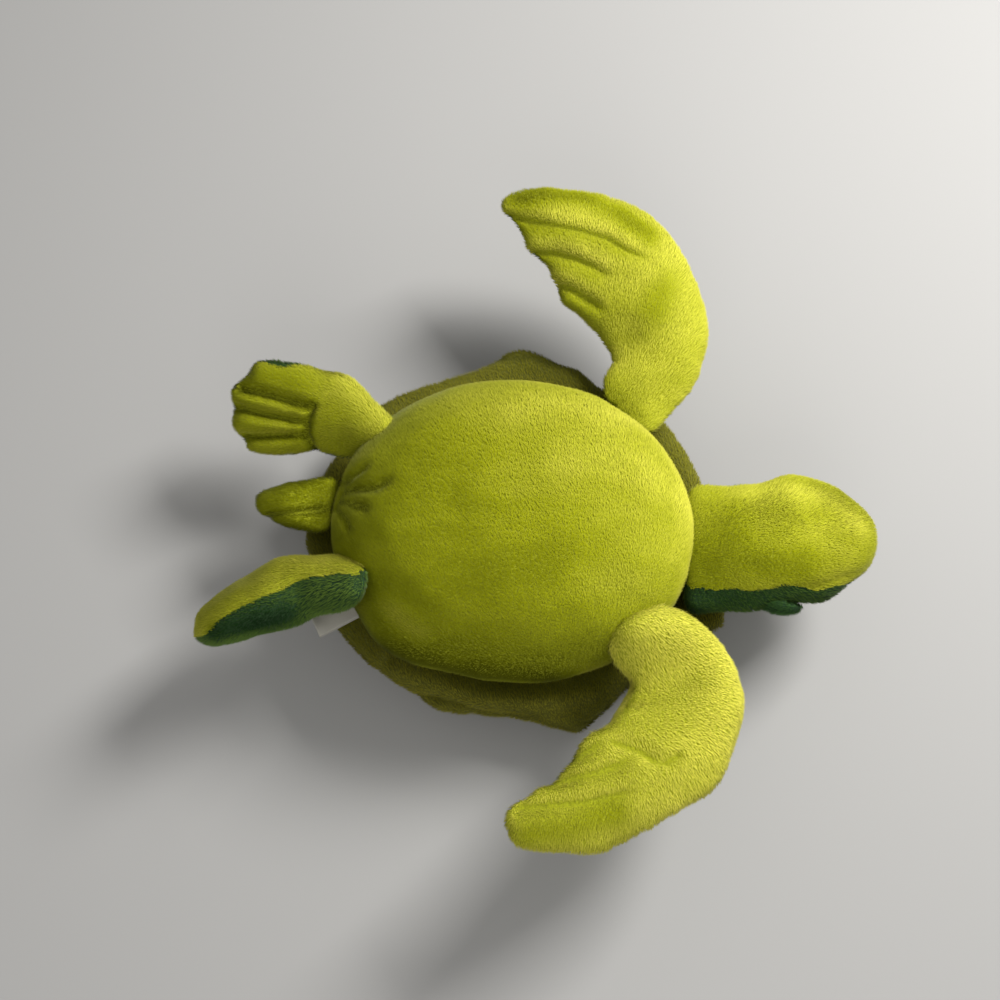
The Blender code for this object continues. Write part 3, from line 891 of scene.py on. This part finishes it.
# Places are shares of the dome's half length and half width.
plate_rows = [-0.84, -0.50, -0.17, 0.17, 0.50, 0.84]
narrow, broad, edge = 0.20, 0.34, 0.86
fan = 1.15
zigzag = []
for a, b in zip(plate_rows, plate_rows[1:]):
    zigzag += [(a, narrow), ((a + b) / 2, broad)]
zigzag.append((plate_rows[-1], narrow))
quilting = []
for flip in (1, -1):
    quilting.append([(x, y * flip) for x, y in zigzag])
    for x, y in zigzag[1::2]:
        # out to an oval a little inside the dome's rim
        reach = math.sqrt(max(edge ** 2 - (x * 0.95) ** 2, 0.1))
        quilting.append([(x, y * flip), (x * fan, reach * flip)])
for x in plate_rows:
    quilting.append([(x, narrow), (x, -narrow)])
for line in quilting:
    press(forms["torso"], shell_points(line), quilt_width, quilt_depth)
print("shell quilted with", len(quilting), "rows of stitches")


# %% [markdown]
# ## Pile
# Plush is short fibre that stands out of a knitted backing and leans one way. A flat cloth with a fuzzy
# shader keeps a hard outline. Particle hair would look right but isn't a mesh, and it is lost when the toy
# is exported. So one needle with four faces is scattered over each form with Geometry Nodes and kept as a
# mesh. It stands for a tuft of fibres: half a millimetre wide, and as long as the pile.

# %% One tuft
def make_tuft(name, length, width):
    """A three-sided needle that points up. Its attribute says how far along it a point is."""
    shape = bmesh.new()
    bmesh.ops.create_cone(shape, segments=3, cap_ends=True, radius1=width / 2, radius2=0, depth=length)
    bmesh.ops.translate(shape, verts=shape.verts, vec=(0, 0, length / 2))
    bmesh.ops.remove_doubles(shape, verts=shape.verts, dist=width / 100)
    along = shape.verts.layers.float.new("along")
    for point in shape.verts:
        point[along] = point.co.z / length
    tuft = object_from(name, shape)
    tuft.hide_render = True
    print(name, "has", len(tuft.data.polygons), "faces")
    return tuft


# %% The scatter, as Geometry Nodes
stray_share = 0.22
shortest, longest = 0.7, 1.15


def out_of(tree, kind, inputs=None, out=0, **settings):
    """Adds a node to a tree and gives one of its outputs. Inputs are plain values, or sockets."""
    node = tree.nodes.new(kind)
    for key, value in settings.items():
        setattr(node, key, value)
    for key, value in (inputs or {}).items():
        if isinstance(value, bpy.types.NodeSocket):
            tree.links.new(value, node.inputs[key])
        else:
            node.inputs[key].default_value = value
    return node.outputs[out]


def maths(tree, operation, *values, **settings):
    """The result of a Math node."""
    return out_of(tree, "ShaderNodeMath", dict(enumerate(values)), operation=operation, **settings)


def named(tree, name, kind="FLOAT"):
    """The value of a mesh attribute, inside a tree."""
    return out_of(tree, "GeometryNodeInputNamedAttribute", {"Name": name}, data_type=kind)


def random_in(tree, low, high, seed):
    """A number between two others, drawn anew for each point."""
    return out_of(tree, "FunctionNodeRandomValue", {2: low, 3: high, "Seed": seed}, 1, data_type="FLOAT")


def scatter_tree(tuft, density, seed):
    """Scatters tufts where the attribute 'grows' is over a half, leaning the way of 'nap'."""
    tree = bpy.data.node_groups.new("scatter_" + tuft.name, "GeometryNodeTree")
    tree.interface.new_socket("Cloth", in_out="INPUT", socket_type="NodeSocketGeometry")
    tree.interface.new_socket("Pile", in_out="OUTPUT", socket_type="NodeSocketGeometry")
    cloth = out_of(tree, "NodeGroupInput")
    spread = out_of(tree, "GeometryNodeDistributePointsOnFaces",
                    {"Mesh": cloth, "Density": density, "Seed": seed}, distribute_method="RANDOM")
    jitter = out_of(tree, "FunctionNodeRandomValue", {0: (-1, -1, -1), 1: (1, 1, 1), "Seed": seed + 1},
                    data_type="FLOAT_VECTOR")
    stray = out_of(tree, "ShaderNodeVectorMath", {0: jitter, "Scale": stray_share}, operation="SCALE")
    lean = out_of(tree, "ShaderNodeVectorMath", {0: named(tree, "nap", "FLOAT_VECTOR"), 1: stray},
                  operation="ADD")
    turn = out_of(tree, "FunctionNodeAlignRotationToVector", {"Vector": lean}, axis="Z")
    size = maths(tree, "MULTIPLY", random_in(tree, shortest, longest, seed + 2), named(tree, "tall"))
    grain = random_in(tree, 0.0, 1.0, seed + 3)
    marked = out_of(tree, "GeometryNodeStoreNamedAttribute",
                    {"Geometry": spread, "Name": "grain", "Value": grain}, data_type="FLOAT", domain="POINT")
    tufts = out_of(tree, "GeometryNodeObjectInfo", {"Object": tuft}, "Geometry")
    grows = out_of(tree, "FunctionNodeCompare", {0: named(tree, "grows"), 1: 0.5},
                   data_type="FLOAT", operation="GREATER_THAN")
    planted = out_of(tree, "GeometryNodeInstanceOnPoints", {
        "Points": marked, "Selection": grows, "Instance": tufts, "Rotation": turn, "Scale": size})
    mesh = out_of(tree, "GeometryNodeRealizeInstances", {"Geometry": planted})
    tree.links.new(mesh, tree.nodes.new("NodeGroupOutput").inputs[0])
    return tree


# %% Growing pile on a form
tip_turn = 0.3


def put_attribute(form, name, values):
    """Stores numbers or vectors at the points of a form."""
    kind, key = ("FLOAT_VECTOR", "vector") if values.ndim == 2 else ("FLOAT", "value")
    held = form.data.attributes
    layer = held.get(name) or held.new(name, kind, "POINT")
    layer.data.foreach_set(key, values.astype(np.float32).ravel())


def drop_attributes(piece, *names):
    """Removes the attributes that only the making of a piece needed."""
    held = piece.data.attributes
    for name in names:
        if name in held:
            held.remove(held[name])


def grow_pile(name, form, tuft, density, seed, finish, grows):
    """A mesh of tufts over the part of a form where grows is over a half. Each tuft is lit as the cloth under
    it is, turned a little to the tips, so the pile looks soft and not like blades."""
    put_attribute(form, "grows", grows)
    piece = bpy.data.objects.new(name, form.data.copy())
    scene.collection.objects.link(piece)
    scatter = piece.modifiers.new("pile", "NODES")
    scatter.node_group = scatter_tree(tuft, density, seed)
    settle(piece)
    mesh = piece.data
    mesh.materials.clear()
    mesh.materials.append(finish)
    skin, nap = (vectors_in(mesh.attributes[key].data, "vector") for key in ("skin", "nap"))
    soft = skin + nap * tip_turn
    soft /= np.linalg.norm(soft, axis=1)[:, None]
    mesh.shade_smooth()
    mesh.normals_split_custom_set_from_vertices(soft)
    drop_attributes(piece, "skin", "nap", "grows", "tall")
    print(name, "has", len(mesh.polygons), "faces")
    return piece


# %% Nodes that the finishes share
thread_scale = 900


def attribute_in(tree, name):
    """A number that the mesh carries, inside a material."""
    return out_of(tree, "ShaderNodeAttribute", out="Fac", attribute_name=name)


def place_in(tree):
    """Where on the object a point is, inside a material."""
    return out_of(tree, "ShaderNodeTexCoord", out="Object")


def ranged(tree, value, low, high, start=0.0, end=1.0):
    """A value between start and end, spread between low and high."""
    return out_of(tree, "ShaderNodeMapRange", {
        "Value": value, "From Min": start, "From Max": end, "To Min": low, "To Max": high})


def tone(tree, value, colour, shader):
    """Makes the shader's colour lighter or darker by a value."""
    toned = out_of(tree, "ShaderNodeHueSaturation", {"Value": value, "Color": colour})
    tree.links.new(toned, shader.inputs["Base Color"])


def raise_bumps(tree, height, strength, distance, shader):
    """Gives the shader fine bumps."""
    bump = out_of(tree, "ShaderNodeBump", {"Height": height, "Strength": strength, "Distance": distance})
    tree.links.new(bump, shader.inputs["Normal"])


# %% Plush materials
# The pile's colour paints its own self-shadow: each tuft is darker at its root, by root_shade, and the mix
# also carries the painted light and shade of each form.
fibre_fade = 0.55
root_shade = 0.22
darkest_painted_shade = 0.4
least_speck, speck_range = 0.88, 0.24


def plush(name, painted_shade_colour, painted_light_colour):
    """Fibre coloured with painted shade at its root and painted light at its tip. Where more light is
    painted, more of the light colour shows.
    """
    made, shader = simple_material(name, painted_light_colour, 0.9)
    tree = made.node_tree
    along, grain, brushed = (attribute_in(tree, key) for key in ("along", "grain", "brushed"))
    height = maths(tree, "MULTIPLY_ADD", along, fibre_fade, brushed)
    seen = maths(tree, "SUBTRACT", height, root_shade, use_clamp=True)
    colour = out_of(tree, "ShaderNodeMix", {"Factor": seen, 6: (*painted_shade_colour, 1), 7: (*painted_light_colour, 1)}, 2,
                    data_type="RGBA")
    # painted shade: the colour is darkened further where the painted light falls under nothing, as in
    # stitches and grooves
    painted_deep_shade = ranged(tree, brushed, darkest_painted_shade, 1.0, -0.45, 0.0)
    speck = maths(tree, "MULTIPLY_ADD", grain, speck_range, least_speck)
    tone(tree, maths(tree, "MULTIPLY", speck, painted_deep_shade), colour, shader)
    shader.inputs["Sheen Weight"].default_value = 0.05
    shader.inputs["Sheen Roughness"].default_value = 0.4
    shader.inputs["Specular IOR Level"].default_value = 0.08
    return made


def backing(name, colour):
    """The knitted ground that the pile stands on: fine loops, seen only between the tufts."""
    made, shader = simple_material(name, colour, 0.95)
    tree = made.node_tree
    loops = out_of(tree, "ShaderNodeTexVoronoi", {"Vector": place_in(tree), "Scale": thread_scale})
    tone(tree, ranged(tree, loops, 1.15, 0.6), (*colour, 1), shader)
    raise_bumps(tree, loops, 0.5, 0.0004, shader)
    return made


finishes = {
    # slot: (pile, backing)
    # each pile: (painted shade colour at the root, painted light colour at the tip)
    "lime_plush": (
        plush("lime_pile", (0.33, 0.36, 0.002), (0.86, 0.82, 0.11)),
        backing("lime_ground", (0.36, 0.39, 0.006)),
    ),
    "leaf_plush": (
        plush("leaf_pile", (0.014, 0.050, 0.010), (0.23, 0.38, 0.060)),
        backing("leaf_ground", (0.014, 0.050, 0.010)),
    ),
    "olive_plush": (
        plush("olive_pile", (0.115, 0.118, 0.006), (0.31, 0.29, 0.030)),
        backing("olive_ground", (0.13, 0.13, 0.008)),
    ),
    "lid_plush": (
        plush("lid_pile", (0.014, 0.050, 0.012), (0.11, 0.25, 0.060)),
        backing("lid_ground", (0.012, 0.045, 0.012)),
    ),
}
print(len(finishes), "plush finishes, each a pile and a backing")

# %% [markdown]
# ## Panels
# Each form is sewn from panels of cloth. One closed skin with a painted border would do for one view, but a
# sewn toy has real edges at its seams. So each form is parted where its CAD panels meet, every panel gets
# the thickness of its cloth inward, and its pile is a piece of its own.

# %% One panel of cloth
cloth_thickness = 0.0011


def make_panel(name, form, side, finish):
    """The faces of a form on the lime side, where side is over nothing, thickened inward."""
    shape = bmesh.new()
    shape.from_mesh(form.data)
    shape.verts.ensure_lookup_table()
    other = [face for face in shape.faces if sum(side[point.index] for point in face.verts) < 0]
    bmesh.ops.delete(shape, geom=other, context="FACES")
    panel = object_from(name, shape, finish)
    cloth = panel.modifiers.new("cloth", "SOLIDIFY")
    cloth.thickness = cloth_thickness
    cloth.offset = -1
    settle(panel)
    drop_attributes(panel, "skin", "nap", "grows", "brushed", "tall")
    return panel


# %% Which way the pile leans, and its painted light and shade
brushed_up = 0.33
comb_behind = 0.06
lift_of_pile = 0.9
half_body = 0.12
drift_size = 0.03
stitched_short = 0.7
stitch_painted_shade = 0.80
patch_strength = 0.24
patch_frequency = (18, 38, 30)
painted_light_of_form = {
    # painted light: how much lighter than the rest this form is coloured, painted shade where under nothing
    "torso": -0.22, "rim": 0.22, "head": -0.38, "tail": -0.28,
    "front_flipper_right": -0.26, "front_flipper_left": 0.44,
    "rear_flipper_right": 0.02, "rear_flipper_left": 0.34,
}


def comb(form, towards, lift, sway):
    """Stores the lean of the pile: along the cloth towards a heading, up out of it, and a little astray.
    Pile stays short in the stitches. Its colour is lighter in long soft patches at random, and carries
    painted light and shade: lighter towards the key lamp, darker in the stitches, and each form's painted
    offset and marks."""
    places = points_of(form)
    out = normals_of(form)
    drift = np.array([noise.noise_vector(Vector(place) / drift_size) for place in places])
    flow = towards + drift * sway
    flow -= (flow * out).sum(axis=1)[:, None] * out
    flow /= np.maximum(np.linalg.norm(flow, axis=1), 0.4)[:, None]
    put_attribute(form, "skin", out)
    put_attribute(form, "nap", out * lift + flow)
    patches = np.array([
        noise.noise(Vector(place)) + 0.5 * noise.noise(Vector(place) * 2.9)
        for place in places * np.array(patch_frequency)
    ])
    low = stitched.get(form.name, 0) * np.ones(len(places))
    shorn = np.maximum(*sockets) if form == forms["head"] else 0
    put_attribute(form, "tall", 1 - stitched_short * np.maximum(low, shorn))
    # painted light: the pile is coloured lighter on the key lamp's side of the toy and darker away from it
    ahead, aside = (places[:, :2] / half_body).T
    towards_light = np.clip(ahead, -1.2, 1.0) * 0.22 + np.clip(aside, -1, 1) * 0.18
    # the rim instead gets painted light on its side that the belly shades from the key lamp
    if form == forms["rim"]:
        towards_light = np.clip(aside, -1, 1) * -0.14
    # painted shade darkens the pile in the stitches
    put_attribute(form, "brushed", (
        brushed_up + patch_strength * np.clip(patches, -0.4, 0.8) + towards_light
        + painted_light_and_shade.get(form.name, 0) - stitch_painted_shade * low
        + painted_light_of_form.get(form.name.removesuffix("_form"), 0)))


for name, form in forms.items():
    places = points_of(form)
    if name in hinges:
        hinge = hinges[name]
        outward = torso_tree.find_nearest(hinge)[1]
        towards = places - np.array(hinge - outward * comb_behind)
        towards /= np.linalg.norm(towards, axis=1)[:, None]
    else:
        # aslant from head to tail, with the two whorls at the sides low enough to be out of sight
        towards = np.tile((-0.5, 0.87, 0.0), (len(places), 1))
        towards[:, 2] = -0.4 * np.clip(places[:, 1] / 0.1, -1, 1)
    comb(form, towards, lift_of_pile, 0.5 if name in hinges else 0.3)
print("pile combed from head to tail, and out along each limb")

# %% Panels and pile, joined to their bodies
fine_tuft = make_tuft("fine_tuft", 0.0027, 0.00041)
broad_tuft = make_tuft("broad_tuft", 0.0028, 0.00054)
piles = {
    # slot: (tuft, tufts in a square metre)
    "lime_plush": (fine_tuft, 1.9e6),
    "leaf_plush": (broad_tuft, 0.98e6),
    "olive_plush": (broad_tuft, 0.90e6),
}
bend_length = 0.028
torso_surface = surface_of(forms["torso"])
pile_seed = 0


def attach(piece, name):
    """A limb's piece bends from the torso to the limb at its root. The others ride on the torso."""
    if name in hinges:
        hinge = hinges[name]
        outward = torso_surface.find_nearest(hinge)[1]
        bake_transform(piece, "torso", name, hinge, hinge + outward * bend_length)
    else:
        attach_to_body(piece, "torso")


def cut_up(form, side, quarters):
    """The side, cut again into the toy's halves or its quarters, so that no pile is too heavy."""
    along, across = points_of(form)[:, 0], points_of(form)[:, 1]
    halves = {"_left": np.minimum(side, -across), "_right": np.minimum(side, across)}
    if not quarters:
        return halves
    return {half + end: np.minimum(part, along * sign) for half, part in halves.items()
            for end, sign in (("_front", 1), ("_rear", -1))}


for name, (filling, lime_panels, back_panels) in sewn_from.items():
    form = forms[name]
    on_shell = name in ("torso", "rim")
    faces_of_toy = (
        ("belly", 1, [*lime_panels, filling], "olive_plush" if name == "rim" else "lime_plush"),
        ("back", -1, back_panels, "olive_plush" if on_shell else "leaf_plush"),
    )
    for word, sign, nodes, slot in faces_of_toy:
        pile_finish, ground = finishes[slot]
        side = sides[name] * sign
        panel = make_panel(name + "_" + word, form, side, ground)
        attach(panel, name)
        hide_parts(*nodes)
        parts = cut_up(form, side, name == "torso" and word == "belly") if on_shell else {"": side}
        for half, grows in parts.items():
            pile_seed += 10
            pile = grow_pile(f"{name}_{word}_pile{half}", form, *piles[slot], pile_seed,
                             pile_finish, 0.5 + grows * 100)
            attach(pile, name)

# %% [markdown]
# ## Eyes and lids
# The eyes are glossy beads, held by a washer inside the head. The CAD's bead has flat facets, and a glossy
# finish would show them, so each bead is made again from the upper half of a sphere. The washer is hidden and
# only gets its finish. The lid over the bead is a small stuffed roll, so it is dressed as the limbs are.

# %% Bead and washer plastic
bead, bead_shader = simple_material("bead_black", (0.006, 0.006, 0.007), 0.06)
bead_shader.inputs["Coat Weight"].default_value = 0.8
bead_shader.inputs["Coat Roughness"].default_value = 0.04
washer, washer_shader = simple_material("washer_white", (0.7, 0.7, 0.68), 0.4)
for finish, shader, low, high in ((bead, bead_shader, 0.04, 0.12), (washer, washer_shader, 0.35, 0.5)):
    tree = finish.node_tree
    rub = out_of(tree, "ShaderNodeTexNoise", {"Vector": place_in(tree), "Scale": 300, "Detail": 4})
    tree.links.new(ranged(tree, rub, low, high), shader.inputs["Roughness"])
for hand in ("left", "right"):
    frame["nodes"]["eye_washer_" + hand].data.materials[0] = washer
print("bead and washer plastic mixed")

# %% Beads
for hand, (seat, bead_out) in bead_seats.items():
    shape = bmesh.new()
    bmesh.ops.create_uvsphere(shape, u_segments=40, v_segments=20, radius=bead_radius)
    lower = [point for point in shape.verts if point.co.z < -1e-6]
    bmesh.ops.delete(shape, geom=lower, context="VERTS")
    foot = [edge for edge in shape.edges if edge.is_boundary]
    for edge in foot:
        edge.smooth = False
    bmesh.ops.holes_fill(shape, edges=foot)
    bmesh.ops.scale(shape, verts=shape.verts, vec=(1, 1, dome_height / bead_radius))
    bmesh.ops.recalc_face_normals(shape, faces=shape.faces)
    turn = bead_out.to_track_quat("Z", "Y").to_matrix().to_4x4()
    bmesh.ops.transform(shape, verts=shape.verts, matrix=Matrix.Translation(seat) @ turn)
    dome = object_from("bead_" + hand, shape, bead)
    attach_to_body(dome, "head")
    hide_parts("eye_" + hand)
    print("bead", hand, "has", len(dome.data.polygons), "faces")

# %% Lids
short_tuft = make_tuft("short_tuft", 0.0026, 0.00040)
lid_density = 2.2e6
near_hand = min(("left", "right"), key=lambda hand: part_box("eyelid_" + hand)[0][1])
for hand in ("left", "right"):
    node = "eyelid_" + hand
    lid = even_form(node + "_form", node, 0.0016, -0.0008)
    refine(lid)
    knead(lid, 0.008, 0.0004, 90)
    if hand == near_hand:
        grab(lid, (790, 609), (780, 609), 0.060)
    else:
        grab(lid, (772, 478), (772, 482), 0.060, -0.004)
    comb(lid, np.tile((-1.0, 0.0, 0.5), (len(lid.data.vertices), 1)), lift_of_pile, 0.9)
    pile_seed += 10
    everywhere = np.ones(len(lid.data.vertices))
    pile_finish, ground = finishes["lid_plush"]
    pile = grow_pile(node + "_pile", lid, short_tuft, lid_density, pile_seed, pile_finish, everywhere)
    panel = make_panel(node + "_roll", lid, everywhere, ground)
    for piece in (panel, pile):
        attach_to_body(piece, "head")
    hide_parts(node)
    bpy.data.objects.remove(lid)

# %% [markdown]
# ## Label
# A blank ribbon, folded once and sewn into the back seam. It is a strip bent round at its far end, with a
# heat-sealed edge on each side.

# %% The folded ribbon
ribbon_width = 0.018
ribbon_reach = 0.030
ribbon_angle = math.radians(210)
ribbon_drop = math.radians(6)
fold_radius = 0.0008
ribbon_wave = 0.0010
ribbon_curl = 0.0022
cut_length = 2 * ribbon_reach + math.pi * fold_radius
label_low, label_high = (Vector(corner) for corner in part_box("sewn_label"))
root = (label_low + label_high) / 2 + Vector((0.0061, 0.0092, 0.0009))
outward = Vector((math.cos(ribbon_angle), math.sin(ribbon_angle), 0))
across = Vector((-outward.y, outward.x, 0))


def round_the_fold(way):
    """How far out and how high the ribbon is, this far along its cut length."""
    if way <= ribbon_reach:
        return way, fold_radius
    if way >= cut_length - ribbon_reach:
        return cut_length - way, -fold_radius
    turn = (way - ribbon_reach) / fold_radius
    return ribbon_reach + fold_radius * math.sin(turn), fold_radius * math.cos(turn)


shape = bmesh.new()
edge_layer = shape.verts.layers.float.new("edge")
bmesh.ops.create_grid(shape, x_segments=120, y_segments=12, size=0.5)
for point in shape.verts:
    part = point.co.y
    reach, height = round_the_fold((point.co.x + 0.5) * cut_length)
    free = reach / ribbon_reach
    wave = ribbon_wave * noise.noise(Vector((reach * 70, part * 2, 0))) - ribbon_curl * (2 * part) ** 2
    place = root + outward * reach + across * part * ribbon_width
    place.z += height + wave * free - reach * math.sin(ribbon_drop)
    point.co = place
    point[edge_layer] = abs(part) * 2
ribbon = object_from("label_ribbon", shape)
body = ribbon.modifiers.new("thickness", "SOLIDIFY")
body.thickness = 0.00025
body.offset = 0
settle(ribbon)
print("ribbon of", round(ribbon_width * 1000), "by", round(cut_length * 1000), "mm, folded once")

# %% Woven satin with sealed edges
# painted shade: the white satin is coloured darker, as the shade it lies in
satin_in_painted_shade = (0.54, 0.52, 0.46)
satin, satin_shader = simple_material("ribbon_satin", satin_in_painted_shade, 0.45)
tree = satin.node_tree
warp, weft = (
    out_of(tree, "ShaderNodeTexWave", {"Vector": place_in(tree), "Scale": thread_scale, "Distortion": 0.6},
           "Fac", bands_direction=direction)
    for direction in ("X", "Y")
)
weave = maths(tree, "MULTIPLY", warp, weft)
sealed = ranged(tree, attribute_in(tree, "edge"), 0.0, 1.0, 0.90, 0.96)
dim = maths(tree, "MULTIPLY_ADD", sealed, -0.22, ranged(tree, weave, 0.82, 1.05))
tone(tree, dim, (*satin_in_painted_shade, 1), satin_shader)
raise_bumps(tree, weave, 0.4, 0.0002, satin_shader)
ribbon.data.materials.append(satin)
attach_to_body(ribbon, "torso")
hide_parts("sewn_label")
print("satin woven, and its two edges sealed")

# %% Tidy up, and write the sizes
for scrap in (fine_tuft, broad_tuft, short_tuft, *forms.values()):
    bpy.data.objects.remove(scrap)
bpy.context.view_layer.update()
dressed = [
    piece for piece in scene.objects if piece.type == "MESH" and piece.visible_get() and piece != floor
]
pile_faces = [len(piece.data.polygons) for piece in dressed if "_pile" in piece.name]
print("faces of pile:", sum(pile_faces), "in", len(pile_faces), "pieces, at most", max(pile_faces))
print("triangles in all:", sum(len(face.vertices) - 2 for piece in dressed for face in piece.data.polygons))
